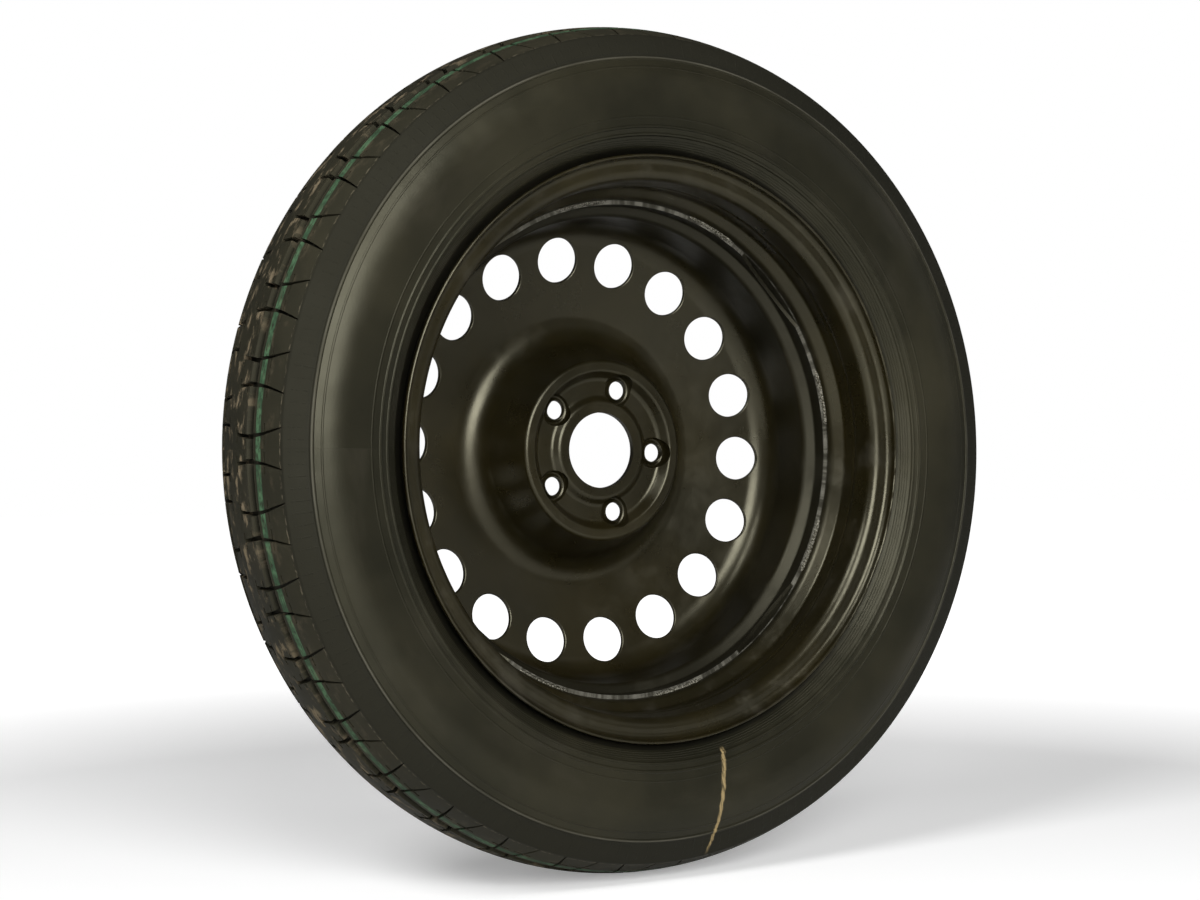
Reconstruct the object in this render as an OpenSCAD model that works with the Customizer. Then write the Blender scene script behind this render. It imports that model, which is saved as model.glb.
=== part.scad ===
// Space saver spare wheel: a narrow high-pressure tyre on a pressed steel wheel.
// The wheel's centre is the origin and its axle is the Y axis.
// The side that bolts against the hub faces -Y. All sizes are in millimetres.
// Sections are drawn as [radius, distance along the axle towards the hub side].

/* [Tyre] */
// Outer radius of the tyre at the middle of the tread
tyre_r = 345; // [340:0.5:350]
// Radius of the tread's crown, seen in section
crown_r = 115; // [105:5:150]
// Half of the tread's width
tread_half = 56.5; // [54:0.5:58]
// Half of the tyre's width at its widest
section_half = 70; // [68:0.5:73]
// Radius at which the tyre is widest
section_r = 292; // [286:1:298]
// Thickness of the rubber under the middle of the tread, ribs included
tread_t = 11; // [9.5:0.5:13]
// Thickness of the sidewall
sidewall_t = 5.5; // [4:0.5:8]
// Depth of the tread's grooves
groove_d = 5.5; // [3:0.5:6]
// Middle of each groove that runs round the tread, from the centre line
ring_groove_s = 25.8; // [24:0.2:28]
// Width of each groove that runs round the tread
ring_groove_w = 7.5; // [5:0.5:9]
// Number of times the tread pattern repeats round the tyre
pitches = 38; // [36:1:40]
// Radius of the raised ring at the top of the sidewall
mould_ring_r = 311; // [309:0.5:313]

/* [Rim] */
// Width of the rim between its flanges
rim_w = 101.6; // [98:0.2:105]
// Radius of the bead seat where it meets the flange
seat_r = 218.3; // [217:0.1:219]
// Radius over the rim flange
lip_r = 235.5; // [234:0.5:237]
// Width of each flange, from its flat to its edge
lip_w = 8.7; // [8.6:0.1:10]
// Thickness of the rim sheet
rim_t = 2.6; // [2.2:0.1:3]
// Outside radius of the land that the disc is pressed into
land_r = 207.7; // [206.5:0.1:208.5]
// Outside radius of the well
well_r = 199.6; // [199:0.1:201]
// Diameter of the valve hole
valve_hole_d = 11.5; // [11.3:0.1:11.7]

/* [Disc] */
// Thickness of the disc sheet
disc_t = 3.3; // [3:0.1:3.6]
// Diameter of the centre bore
bore_d = 63.4; // [60:0.1:67]
// Length of the centre bore
bore_l = 5; // [4:0.5:7]
// Distance from the wheel's middle plane to the hub face
hub_offset = 38.4; // [36:0.2:41]
// Diameter of the bolt circle
bolt_pcd = 108; // [105:0.5:111]
// Number of bolts
bolt_count = 5; // [4:1:5]
// Diameter of a bolt hole
bolt_hole_d = 15.3; // [13:0.1:16]
// Number of vent holes
vent_count = 18; // [14:1:20]
// Diameter of a vent hole
vent_d = 38.2; // [30:0.2:42]
// Radius of the circle that the vent holes stand on
vent_r = 163.4; // [161:0.2:165]
// Distance from the middle plane out to the vent holes
vent_depth = 76; // [73:0.5:78]
// Slope of the band that holds the vent holes
band_tilt = 12; // [9:0.5:14]
// Number of shallow dips in the edge of the disc
dip_count = 4; // [3:1:4]
// Depth of each dip
dip_d = 9.5; // [5:0.5:10]
// Number of weld beads between disc and rim
weld_count = 8; // [6:2:8]
// Angle that each weld bead covers
weld_angle = 14; // [8:1:16]

/* [Valve] */
// Length of the valve outside the rim
valve_l = 33; // [30:0.5:36]
// Tilt of the valve from the axle, towards the hub
valve_tilt = 10; // [8:1:12]
// Outer radius of the valve cap
cap_r = 4.9; // [4.7:0.1:5.5]
// Length of the valve cap
cap_l = 12; // [11:0.5:14]
// Length that the core pin can be pressed in
pin_travel = 1.2; // [0.8:0.1:1.5]

/* [Hidden] */

$fn = 96;
arc_step = 9;
eps = 0.01;
far = 1000;

bead_gap = 0.1;
press_gap = 0.05;
seat_slope = 5;
draft = 0.1;
flange_s = rim_w / 2;
lip_s = flange_s + lip_w;
lip_round = 8.5;
heel_round = 6.5;
seat_len = 19.3;
seat_end_r = seat_r - seat_len * tan(seat_slope);
ledge_s = 15;
land_s = 6;
joggle_s = -13;
joggle_a = 50;
joggle_len = (land_r - well_r) / tan(joggle_a);
wall_tilt = valve_tilt;
wall_top_s = -flange_s + seat_len;
wall_low_s = wall_top_s + (seat_end_r - well_r) * tan(wall_tilt);

skirt_edge_s = 2;
skirt_out_r = land_r - rim_t - press_gap;
skirt_r = skirt_out_r - disc_t;
neck_out_r = well_r - rim_t - 0.15;
neck_r = neck_out_r - disc_t;
disc_joggle_gap = 0.4;
disc_joggle_top = joggle_s + (rim_t + disc_t) * tan(joggle_a / 2) + disc_joggle_gap;
disc_joggle_low = disc_joggle_top - (skirt_r - neck_r) / tan(joggle_a);

collar_s = -hub_offset - 3.6;
valley_s = -hub_offset - 8.1;
crest_in_r = 66.5;
crest_out_r = 75.5;
foot_r = 97.5;
bore_r = bore_d / 2;
vent_phase = 17.64;
bolt_phase = 69.72;
weld_pair_phase = -50.6;
weld_half_gap = 26.4;
dip_phase = -46.4;
dip_angle = 24;

valve_angle = vent_phase + 360 / vent_count * 8.5;
valve_r = (well_r + seat_end_r) / 2;
valve_s = wall_low_s - (valve_r - well_r) * tan(wall_tilt);
stem_r = 3.85;
core_bore_r = 2.65;
low_bore_r = 2.0;
taper_top_z = valve_l - 9.5;
taper_low_z = valve_l - 12.5;
core_top_z = valve_l - 1.5;
core_low_z = valve_l - 16.5;
pin_tip_z = valve_l - 0.3;
seal_t = 1.1;
cap_roof_z = valve_l + seal_t + 0.1;
cap_low_z = cap_roof_z + 2 - cap_l;

// Unit vector along v
function unit(v) = v / norm(v);

// Points of an arc about c, from angle a0 through the angle turn
function arc_points(c, r, a0, turn) =
    let (n = max(1, ceil(abs(turn) / arc_step)))
    [for (i = [0:n]) c + r * [cos(a0 + turn * i / n), sin(a0 + turn * i / n)]];

// Corner b of the path a, b, c, rounded to radius r
function round_corner(a, b, c, r) =
    let (
        u = unit(a - b),
        v = unit(c - b),
        half = acos(max(-1, min(1, u * v))) / 2
    )
    r <= 0 || half > 89.5 ? [b] :
    let (
        mid = b + unit(u + v) * r / sin(half),
        p0 = b + u * r / tan(half),
        p1 = b + v * r / tan(half),
        a0 = atan2(p0[1] - mid[1], p0[0] - mid[0]),
        a1 = atan2(p1[1] - mid[1], p1[0] - mid[0]),
        turn = (a1 - a0 + 540) % 360 - 180
    )
    arc_points(mid, r, a0, turn);

function flat(p) = [p[0], p[1]];

// Path through corners given as [radius, distance, rounding]
function smooth(path) =
    let (last = len(path) - 1)
    [for (i = [0:last])
        each (i == 0 || i == last ? [flat(path[i])]
            : round_corner(flat(path[i - 1]), flat(path[i]), flat(path[i + 1]), path[i][2]))];

// The same path, moved by t to the right of the way it runs
function right_normal(a, b) = let (d = unit(b - a)) [d[1], -d[0]];
function shifted(path, t) =
    let (last = len(path) - 1)
    [for (i = [0:last])
        let (
            n0 = right_normal(path[max(i - 1, 0)], path[max(i, 1)]),
            n1 = right_normal(path[min(i, last - 1)], path[min(i + 1, last)]),
            m = unit(n0 + n1)
        )
        path[i] + m * t / (m * n0)];

function reversed(path) = [for (i = [len(path) - 1:-1:0]) path[i]];
function mirrored(path) = [for (p = path) [p[0], -p[1]]];

// Closed outline of a sheet that follows a path, with a rounded edge at each end
function edge_nose(p, q) =
    let (mid = (p + q) / 2, a = atan2(p[1] - mid[1], p[0] - mid[0]))
    [for (i = [1:5]) mid + norm(p - q) / 2 * [cos(a - 30 * i), sin(a - 30 * i)]];
function sheet(path, t) =
    let (other = shifted(path, t), last = len(path) - 1)
    concat(path, edge_nose(path[last], other[last]), reversed(other), edge_nose(other[0], path[0]));

// The wheel turned so that its axle lies along Y
module on_axle() {
    rotate([90, 0, 0]) children();
}

// A frame at the valve hole: z runs out of the rim along the valve
module at_valve() {
    on_axle() rotate([0, 0, valve_angle]) translate([valve_r, 0, valve_s])
        rotate([0, 180 + valve_tilt, 0]) children();
}

// Tyre
crown_c = tyre_r - crown_r;
edge_angle = asin(tread_half / crown_r);
edge_r = crown_c + crown_r * cos(edge_angle);
bead_top_r = lip_r + 4.7;
toe_s = flange_s - 17;
toe_r = seat_r - (flange_s - toe_s) * tan(seat_slope);

// Point on the crown at the distance s from the centre line, lowered by d
function crown(s, d = 0) = [crown_c + sqrt(pow(crown_r - d, 2) - pow(s, 2)), s];
groove_in = ring_groove_s - ring_groove_w / 2;
groove_out = ring_groove_s + ring_groove_w / 2;

crown_out = concat(
    [for (i = [0:3]) crown((groove_in - 0.5) * i / 3)],
    [crown(groove_in + 0.4, groove_d), crown(groove_out - 0.4, groove_d)],
    [for (i = [0:3]) crown(groove_out + 0.5 + (tread_half - 2.5 - groove_out) * i / 3)]
);
side_out = smooth([
    crown(tread_half - 2),
    [edge_r - 0.3, tread_half + 0.4, 3],
    [edge_r - 9, tread_half + 4.4, 14],
    [mould_ring_r + 1.6, section_half - 6, 0.8],
    [mould_ring_r + 1.1, section_half - 5, 0.3],
    [mould_ring_r - 1.1, section_half - 4.4, 0.3],
    [mould_ring_r - 1.7, section_half - 5.1, 0.8],
    [section_r, section_half + 0.5, 52],
    [lip_r + 22.2, section_half - 3.9, 1],
    [lip_r + 21.6, section_half - 3.2, 0.3],
    [lip_r + 20.2, section_half - 3.5, 0.3],
    [lip_r + 19.6, section_half - 4.6, 1],
    [lip_r + 16, section_half - 5.6, 1],
    [lip_r + 15.4, section_half - 4.9, 0.3],
    [lip_r + 14, section_half - 5.4, 0.3],
    [lip_r + 13.4, section_half - 6.8, 1],
    [bead_top_r, flange_s + 5.5, 4],
    [lip_r - 2, flange_s - bead_gap, 2.5],
    [seat_r + bead_gap, flange_s - bead_gap, heel_round - bead_gap],
    [toe_r + bead_gap, toe_s, 0]
]);
inner_a = 22;
inner_crown_r = crown_r - tread_t;
crown_in = arc_points([crown_c, 0], inner_crown_r, 0, inner_a);
side_in = smooth([
    [crown_c + inner_crown_r * cos(inner_a), inner_crown_r * sin(inner_a), 0],
    [mould_ring_r + 2, section_half - sidewall_t - 7, 20],
    [section_r, section_half - sidewall_t, 60],
    [lip_r + 24, section_half - sidewall_t - 4, 20],
    [lip_r + 8, flange_s - 4, 20],
    [seat_r + 9, toe_s + 4, 8],
    [toe_r + 2, toe_s - 1.5, 1],
    [toe_r + bead_gap, toe_s, 0]
]);
half_out = concat(crown_out, [for (i = [1:len(side_out) - 1]) side_out[i]]);
half_in = concat(crown_in, [for (i = [1:len(side_in) - 2]) side_in[i]]);

module tyre_section() {
    polygon(concat(
        half_out, reversed(half_in),
        mirrored([for (i = [1:len(half_in) - 1]) half_in[i]]),
        mirrored(reversed([for (i = [1:len(half_out) - 1]) half_out[i]]))
    ));
}

// Cross grooves of one pattern repeat on one side of the tread
shoulder_tilt = 22;
mid_s = (ring_groove_s + tread_half) / 2;
mid_r = crown(mid_s)[0];
module shoulder_groove() {
    translate([mid_r, 0, mid_s]) rotate([0, -shoulder_tilt, 0]) translate([-groove_d, 0, -mid_s])
        rotate([90, 0, 90]) linear_extrude(height = groove_d + 8) polygon([
            [6.4, ring_groove_s], [7.4, 34], [8.9, 41], [11.7, 50], [15.4, tread_half + 4],
            [20.0, tread_half + 4], [16.9, 50], [13.1, 41], [12.1, 34], [12.0, ring_groove_s]
        ]);
}
module rib_groove() {
    translate([tyre_r - groove_d, 0, 0]) rotate([90, 0, 90]) linear_extrude(height = groove_d + 5)
        polygon([[8.8, 6.5], [7.6, 15], [5.2, ring_groove_s - 2], [11.9, ring_groove_s - 2],
                 [11.9, 15], [12.7, 6.5]]);
}
module cross_grooves() {
    for (m = [0, 1]) mirror([0, m, 0]) {
        shoulder_groove();
        rib_groove();
    }
}

module tyre() {
    color("#2b2a26") on_axle() difference() {
        rotate_extrude($fn = 180) tyre_section();
        for (i = [0:pitches - 1]) {
            rotate([0, 0, 360 / pitches * i]) cross_grooves();
            rotate([0, 0, 360 / pitches * (i + 0.5)]) mirror([0, 0, 1]) cross_grooves();
        }
    }
}

// Rim
rim_path = smooth([
    [lip_r, lip_s, 0],
    [lip_r - draft, flange_s, lip_round],
    [seat_r, flange_s, heel_round],
    [seat_end_r, flange_s - seat_len, 4],
    [seat_end_r + 0.9, flange_s - seat_len - 2.5, 3.4],
    [seat_end_r, flange_s - seat_len - 5.5, 3],
    [seat_end_r - draft, ledge_s, 8],
    [land_r + draft / 2, land_s, 8],
    [land_r, joggle_s, 8],
    [well_r, joggle_s - joggle_len, 3],
    [well_r + draft / 2, wall_low_s, 2.2],
    [seat_end_r, wall_top_s, 3],
    [seat_r, -flange_s, heel_round],
    [lip_r - draft, -flange_s, lip_round],
    [lip_r, -lip_s, 0]
]);

module rim() {
    color("#1f1d18") difference() {
        on_axle() rotate_extrude($fn = 180) polygon(sheet(rim_path, rim_t));
        at_valve() translate([0, 0, -10]) cylinder(h = 20, d = valve_hole_d);
    }
}

// Disc
function band_s(r) = -vent_depth + (r - vent_r) * tan(band_tilt);
disc_path = smooth([
    [bore_r, collar_s, 0],
    [bore_r + 9, collar_s, 6],
    [bore_r + 14.5, valley_s, 6],
    [crest_in_r - 6, valley_s, 6],
    [crest_in_r, -hub_offset, 3.5],
    [crest_out_r, -hub_offset, 4.5],
    [foot_r, band_s(foot_r), 24],
    [neck_r, band_s(neck_r), 24],
    [neck_r, disc_joggle_low, 8],
    [skirt_r, disc_joggle_top, 3],
    [skirt_r, skirt_edge_s, 0]
]);
moat_r = 13;
moat_d = 3.1;
seat_lip_r = bolt_hole_d / 2 + 1.1;
boss_out_s = valley_s - disc_t - 3.4;
boss_top_r = moat_r + 3;

disc_other = shifted(disc_path, disc_t);
neck_ring_r = bore_r + 3.2;

// Everything on the outer side of the sheet's hub side
module under_sheet() {
    rotate_extrude($fn = 180) polygon(concat(
        disc_path,
        [[lip_r, skirt_edge_s], [lip_r, -far / 5], [bore_r, -far / 5]]
    ));
}

// Everything on the hub side of the sheet's outer side, with the ring that lengthens the bore
module over_sheet() {
    rotate_extrude($fn = 180) polygon(concat(
        [[bore_r - 5, collar_s - bore_l], [neck_ring_r, collar_s - bore_l],
         [neck_ring_r + 1, collar_s - disc_t]],
        [for (i = [1:len(disc_other) - 1]) disc_other[i]],
        [[skirt_out_r, 30], [bore_r - 5, 30]]
    ));
}

// Cups on the outer side that back the bolt seats
module bolt_cups() {
    for (i = [0:bolt_count - 1]) rotate([0, 0, bolt_phase + 360 / bolt_count * i])
        translate([bolt_pcd / 2, 0, boss_out_s]) union() {
            cylinder(h = 4, r1 = boss_top_r - 3.4, r2 = boss_top_r);
            translate([0, 0, 4 - eps]) cylinder(h = 24, r = boss_top_r);
        }
}

// Bolt hole, its cone for the bolt head, and the moat pressed round it on the hub side
module bolt_hole() {
    translate([bolt_pcd / 2, 0, 0]) {
        translate([0, 0, boss_out_s - 5]) cylinder(h = 30, d = bolt_hole_d);
        translate([0, 0, boss_out_s - eps])
            cylinder(h = 3.7, r1 = bolt_hole_d / 2 + 3.7 * tan(30), r2 = bolt_hole_d / 2);
        translate([0, 0, valley_s - moat_d]) difference() {
            cylinder(h = 25, r = moat_r);
            translate([0, 0, -1]) cylinder(h = 40, r = seat_lip_r);
        }
    }
}

module vent_hole() {
    translate([vent_r, 0, -vent_depth]) rotate([0, -band_tilt, 0])
        cylinder(h = 60, d = vent_d, center = true);
}

// Shallow dip in the disc's edge, cut by a drum that lies across it
module edge_dip() {
    dip_half = skirt_r * sin(dip_angle / 2);
    drum_r = (pow(dip_half, 2) + pow(dip_d, 2)) / (2 * dip_d);
    translate([skirt_r - 10, 0, skirt_edge_s - dip_d + drum_r]) rotate([0, 90, 0])
        cylinder(h = 20, r = drum_r);
}

module disc() {
    color("#26241e") on_axle() difference() {
        intersection() {
            under_sheet();
            union() {
                over_sheet();
                bolt_cups();
            }
        }
        for (i = [0:bolt_count - 1]) rotate([0, 0, bolt_phase + 360 / bolt_count * i]) bolt_hole();
        for (i = [0:vent_count - 1]) rotate([0, 0, vent_phase + 360 / vent_count * i]) vent_hole();
        for (i = [0:dip_count - 1]) rotate([0, 0, dip_phase + 360 / dip_count * i]) edge_dip();
    }
}

// Weld beads between the disc's edge and the rim
weld_w = land_r - rim_t - skirt_r - 0.4;
module weld_bead() {
    rotate([0, 0, -weld_angle / 2]) rotate_extrude(angle = weld_angle) polygon(concat(
        [[land_r - rim_t, skirt_edge_s]],
        arc_points([land_r - rim_t, skirt_edge_s], weld_w, 90, 90)
    ));
}
module weld_beads() {
    color("#3a3730") on_axle() for (i = [0:weld_count / 2 - 1]) for (m = [-1, 1])
        rotate([0, 0, weld_pair_phase + 720 / weld_count * i + m * weld_half_gap]) weld_bead();
}

// Snap-in valve
shoulder_r = valve_hole_d / 2 + 0.5;
body_top_z = cap_low_z - 0.7;
module valve_body() {
    color("#191919") at_valve() rotate_extrude() polygon([
        [stem_r, -5.5], [stem_r + 1.6, -7], [7.0, -7], [7.6, -6.2], [7.2, -1.6], [6, -0.05],
        [valve_hole_d / 2 - 0.05, -0.05], [valve_hole_d / 2 - 0.05, rim_t + 0.05],
        [shoulder_r, rim_t + 0.05], [shoulder_r, rim_t + 2.2], [5.4, rim_t + 7],
        [4.9, body_top_z - 1], [4.4, body_top_z], [stem_r, body_top_z]
    ]);
}
module valve_stem() {
    color("#b08d4c") at_valve() rotate_extrude() polygon([
        [low_bore_r - 0.4, -5.5], [stem_r, -5.5], [stem_r, valve_l - 0.6], [stem_r - 0.6, valve_l],
        [core_bore_r, valve_l], [core_bore_r, taper_top_z], [low_bore_r, taper_low_z],
        [low_bore_r, 6], [low_bore_r - 0.4, 5.6]
    ]);
}

// Valve core, screwed into the stem
barrel_r = 1.7;
neck_core_r = 1.2;
pin_r = 0.55;
pin_gap = 0.07;
spring_room_r = 0.95;
spring_low_z = taper_top_z + 1;
module core_body() {
    color("#c9a75a") at_valve() rotate_extrude() polygon([
        [pin_r + pin_gap, core_low_z], [barrel_r, core_low_z], [barrel_r, taper_low_z + 0.3],
        [neck_core_r, taper_low_z + 0.3], [neck_core_r, taper_top_z - 0.6],
        [barrel_r, taper_top_z - 0.6], [core_bore_r - 0.05, taper_top_z + 0.8],
        [core_bore_r - 0.05, core_top_z - 1.8], [barrel_r + 0.2, core_top_z - 1.8],
        [barrel_r + 0.2, core_top_z], [spring_room_r, core_top_z],
        [spring_room_r, spring_low_z], [pin_r + pin_gap, spring_low_z]
    ]);
}
module core_seal() {
    color("#d8d4c8") at_valve() rotate_extrude() polygon([
        [neck_core_r + 0.03, taper_low_z + 0.33], [low_bore_r - 0.03, taper_low_z + 0.33],
        [core_bore_r - 0.2, taper_top_z - 0.63], [neck_core_r + 0.03, taper_top_z - 0.63]
    ]);
}

// Pin that opens the valve when it is pressed, with the cup at its inner end
cup_r = 1.5;
cup_low_z = core_low_z - 2.2;
cup_floor_z = core_low_z - 1.15;
collar_low_z = core_top_z - 0.5;
module core_pin() {
    color("#d6bd7a") at_valve() rotate_extrude($fn = 48) polygon([
        [0, cup_low_z - 1.8], [pin_r, cup_low_z - 1.8], [pin_r, cup_low_z],
        [cup_r, cup_low_z], [cup_r, core_low_z - 0.4], [cup_r - 0.18, core_low_z - 0.4],
        [cup_r - 0.18, cup_floor_z], [pin_r, cup_floor_z], [pin_r, collar_low_z],
        [spring_room_r - 0.07, collar_low_z], [spring_room_r - 0.07, collar_low_z + 0.4],
        [pin_r, collar_low_z + 0.4], [pin_r, pin_tip_z - 0.6], [0.8, pin_tip_z - 0.5],
        [0.8, pin_tip_z - 0.15], [0.65, pin_tip_z], [0, pin_tip_z]
    ]);
}
module core_cup_seal() {
    color("#3d3a36") at_valve() rotate_extrude($fn = 48) translate([pin_r + 0.03, cup_floor_z + 0.02])
        square([cup_r - 0.18 - pin_r - 0.06, core_low_z - cup_floor_z - 0.04]);
}

// Coil spring round the pin, between a step in the core and the pin's collar
spring_wire_r = 0.11;
spring_turns = 6;
spring_r = pin_r + 0.2;
spring_len = collar_low_z - spring_low_z - 2 * spring_wire_r - 0.1;
spring_steps = spring_turns * 12;
spring_sides = 6;
module core_spring() {
    points = [for (i = [0:spring_steps]) for (k = [0:spring_sides - 1])
        let (
            turn = 30 * i,
            r = spring_r + spring_wire_r * cos(60 * k),
            z = spring_low_z + 0.05 + spring_wire_r + spring_len * i / spring_steps
        )
        [r * cos(turn), r * sin(turn), z + spring_wire_r * sin(60 * k)]];
    sides = [for (i = [0:spring_steps - 1]) for (k = [0:spring_sides - 1])
        let (a = i * spring_sides, n = (k + 1) % spring_sides)
        [a + k, a + spring_sides + k, a + spring_sides + n, a + n]];
    first = [for (k = [0:spring_sides - 1]) k];
    last = [for (k = [spring_sides - 1:-1:0]) spring_steps * spring_sides + k];
    color("#b9bcc0") at_valve() polyhedron(points, concat(sides, [first, last]));
}

// Valve cap
module cap() {
    color("#1c1c1d") at_valve() difference() {
        translate([0, 0, cap_low_z]) union() {
            cylinder(h = cap_l - 1, r = cap_r);
            translate([0, 0, cap_l - 1]) cylinder(h = 1, r1 = cap_r, r2 = cap_r - 1);
        }
        translate([0, 0, cap_low_z - 1]) cylinder(h = cap_roof_z - cap_low_z + 1, r = stem_r + 0.05);
    }
}
module cap_seal() {
    color("#3b1f1a") at_valve() translate([0, 0, valve_l + 0.04]) difference() {
        cylinder(h = seal_t, r = stem_r - 0.1);
        translate([0, 0, -1]) cylinder(h = 3, r = 1.6);
    }
}

tyre();
rim();
disc();
weld_beads();
valve_body();
valve_stem();
core_body();
core_seal();
core_pin();
core_cup_seal();
core_spring();
cap();
cap_seal();
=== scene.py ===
import math
from types import SimpleNamespace

import bmesh
import bpy
import numpy as np
from mathutils import Matrix, Vector
from mathutils.kdtree import KDTree


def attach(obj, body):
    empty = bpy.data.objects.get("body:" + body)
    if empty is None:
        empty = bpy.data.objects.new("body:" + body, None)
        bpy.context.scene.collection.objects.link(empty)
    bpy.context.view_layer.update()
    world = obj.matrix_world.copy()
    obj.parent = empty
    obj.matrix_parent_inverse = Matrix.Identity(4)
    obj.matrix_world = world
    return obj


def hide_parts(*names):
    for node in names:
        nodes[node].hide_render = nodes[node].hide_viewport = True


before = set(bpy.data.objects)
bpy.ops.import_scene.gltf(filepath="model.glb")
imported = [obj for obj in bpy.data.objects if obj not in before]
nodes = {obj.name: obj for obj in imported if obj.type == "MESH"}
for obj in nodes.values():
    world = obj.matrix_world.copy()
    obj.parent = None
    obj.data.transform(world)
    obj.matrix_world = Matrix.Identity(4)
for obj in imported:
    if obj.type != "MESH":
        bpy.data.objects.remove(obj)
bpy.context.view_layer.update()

# Sections are [radius, distance along the axle towards the hub side] in millimetres.
# A point (r, s) at the angle phi lies at (r cos phi, -s, r sin phi).

TYRE_R, CROWN_R, TREAD_HALF = 345.0, 115.0, 56.5
SECTION_HALF, SECTION_R = 70.0, 292.0
GROOVE_D, RING_GROOVE_S, RING_GROOVE_W = 5.5, 25.8, 7.5
PITCHES, MOULD_RING_R = 38, 311.0
TREAD_T, SIDEWALL_T = 11.0, 5.5
SHOULDER_FALL = 1.9  # how fast the grooves' floor sinks past the tread's edge
RIM_W, SEAT_R, LIP_R, LIP_W, RIM_T = 101.6, 218.3, 235.5, 8.7, 2.6
LAND_R, WELL_R = 207.7, 199.6
DISC_T, BORE_R, BORE_L, HUB_OFFSET = 3.26, 31.7, 5.0, 38.4
PCD, BOLT_D = 108.0, 15.3
VENTS, VENT_D, VENT_R, VENT_DEPTH, BAND_TILT = 18, 38.2, 163.4, 76.0, 12.0
VALVE_L, VALVE_TILT, CAP_R, CAP_L = 33.0, 10.0, 4.9, 12.0

FLANGE_S = RIM_W / 2
LIP_S = FLANGE_S + LIP_W
SEAT_SLOPE = 5.0
SEAT_LEN = 19.3


def tand(a):
    return math.tan(math.radians(a))


SEAT_END_R = SEAT_R - SEAT_LEN * tand(SEAT_SLOPE)
JOGGLE_S, JOGGLE_A = -13.0, 50.0
JOGGLE_LEN = (LAND_R - WELL_R) / tand(JOGGLE_A)
WALL_TOP_S = -FLANGE_S + SEAT_LEN
WALL_LOW_S = WALL_TOP_S + (SEAT_END_R - WELL_R) * tand(VALVE_TILT)
SKIRT_EDGE_S, DIP_D = 2.0, 9.5
SKIRT_OUT_R = LAND_R - RIM_T - 0.05
SKIRT_R = SKIRT_OUT_R - DISC_T
NECK_R = WELL_R - RIM_T - 0.15 - DISC_T
D_TOP = JOGGLE_S + (RIM_T + DISC_T) * tand(JOGGLE_A / 2) + 0.4
D_LOW = D_TOP - (SKIRT_R - NECK_R) / tand(JOGGLE_A)
COLLAR_S, VALLEY_S = -HUB_OFFSET - 3.6, -HUB_OFFSET - 8.1
FOOT_R = 97.5
VENT_PHASE, BOLT_PHASE = 17.64, 69.72
WELD_PAIR_PHASE, WELD_HALF_GAP, WELD_ANGLE = -50.6, 26.4, 14.0
DIP_PHASE, DIP_ANGLE = -46.4, 24.0
MOAT_R, MOAT_D = 13.0, 3.1
SEAT_LIP_R = BOLT_D / 2 + 1.1
BOSS_OUT_S = VALLEY_S - DISC_T - 3.4
VALVE_ANGLE = VENT_PHASE + 170
VALVE_R = (WELL_R + SEAT_END_R) / 2
VALVE_S = WALL_LOW_S - (VALVE_R - WELL_R) * tand(VALVE_TILT)


# Section paths

def arc_points(c, r, a0, turn, step):
    n = max(1, math.ceil(abs(turn) / step))
    return [(c[0] + r * math.cos(math.radians(a0 + turn * i / n)),
             c[1] + r * math.sin(math.radians(a0 + turn * i / n))) for i in range(n + 1)]


def smooth(path, step=4.0):
    out = []
    for i, p in enumerate(path):
        if i == 0 or i == len(path) - 1 or p[2] <= 0:
            out.append((p[0], p[1]))
            continue
        a, b, c = (np.array(path[k][:2], float) for k in (i - 1, i, i + 1))
        u = (a - b) / np.linalg.norm(a - b)
        v = (c - b) / np.linalg.norm(c - b)
        half = math.acos(max(-1, min(1, float(u @ v)))) / 2
        if math.degrees(half) > 89.5:
            out.append(tuple(b))
            continue
        m = (u + v) / np.linalg.norm(u + v)
        mid = b + m * p[2] / math.sin(half)
        p0 = b + u * p[2] / math.tan(half)
        p1 = b + v * p[2] / math.tan(half)
        a0 = math.degrees(math.atan2(p0[1] - mid[1], p0[0] - mid[0]))
        a1 = math.degrees(math.atan2(p1[1] - mid[1], p1[0] - mid[0]))
        turn = (a1 - a0 + 540) % 360 - 180
        out += arc_points(mid, p[2], a0, turn, step)
    return out


def shifted(path, t):
    pts = [np.array(p, float) for p in path]
    last = len(pts) - 1

    def normal(a, b):
        d = (b - a) / np.linalg.norm(b - a)
        return np.array([d[1], -d[0]])
    out = []
    for i, p in enumerate(pts):
        n0 = normal(pts[max(i - 1, 0)], pts[max(i, 1)])
        n1 = normal(pts[min(i, last - 1)], pts[min(i + 1, last)])
        m = (n0 + n1) / np.linalg.norm(n0 + n1)
        out.append(tuple(p + m * t / float(m @ n0)))
    return out


def nose(p, q):
    mid = ((p[0] + q[0]) / 2, (p[1] + q[1]) / 2)
    r = math.dist(p, q) / 2
    a = math.degrees(math.atan2(p[1] - mid[1], p[0] - mid[0]))
    return [(mid[0] + r * math.cos(math.radians(a - 30 * i)),
             mid[1] + r * math.sin(math.radians(a - 30 * i))) for i in range(1, 6)]


def sheet(path, t):
    other = shifted(path, t)
    return path + nose(path[-1], other[-1]) + other[::-1] + nose(other[0], path[0])


def thin(path, gap=0.02):
    out = [path[0]]
    for p in path[1:]:
        if math.dist(p, out[-1]) > gap:
            out.append(p)
    return out


# Meshes

def place(r, s, phi):
    return (r * math.cos(phi) / 1000, -s / 1000, r * math.sin(phi) / 1000)


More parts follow.
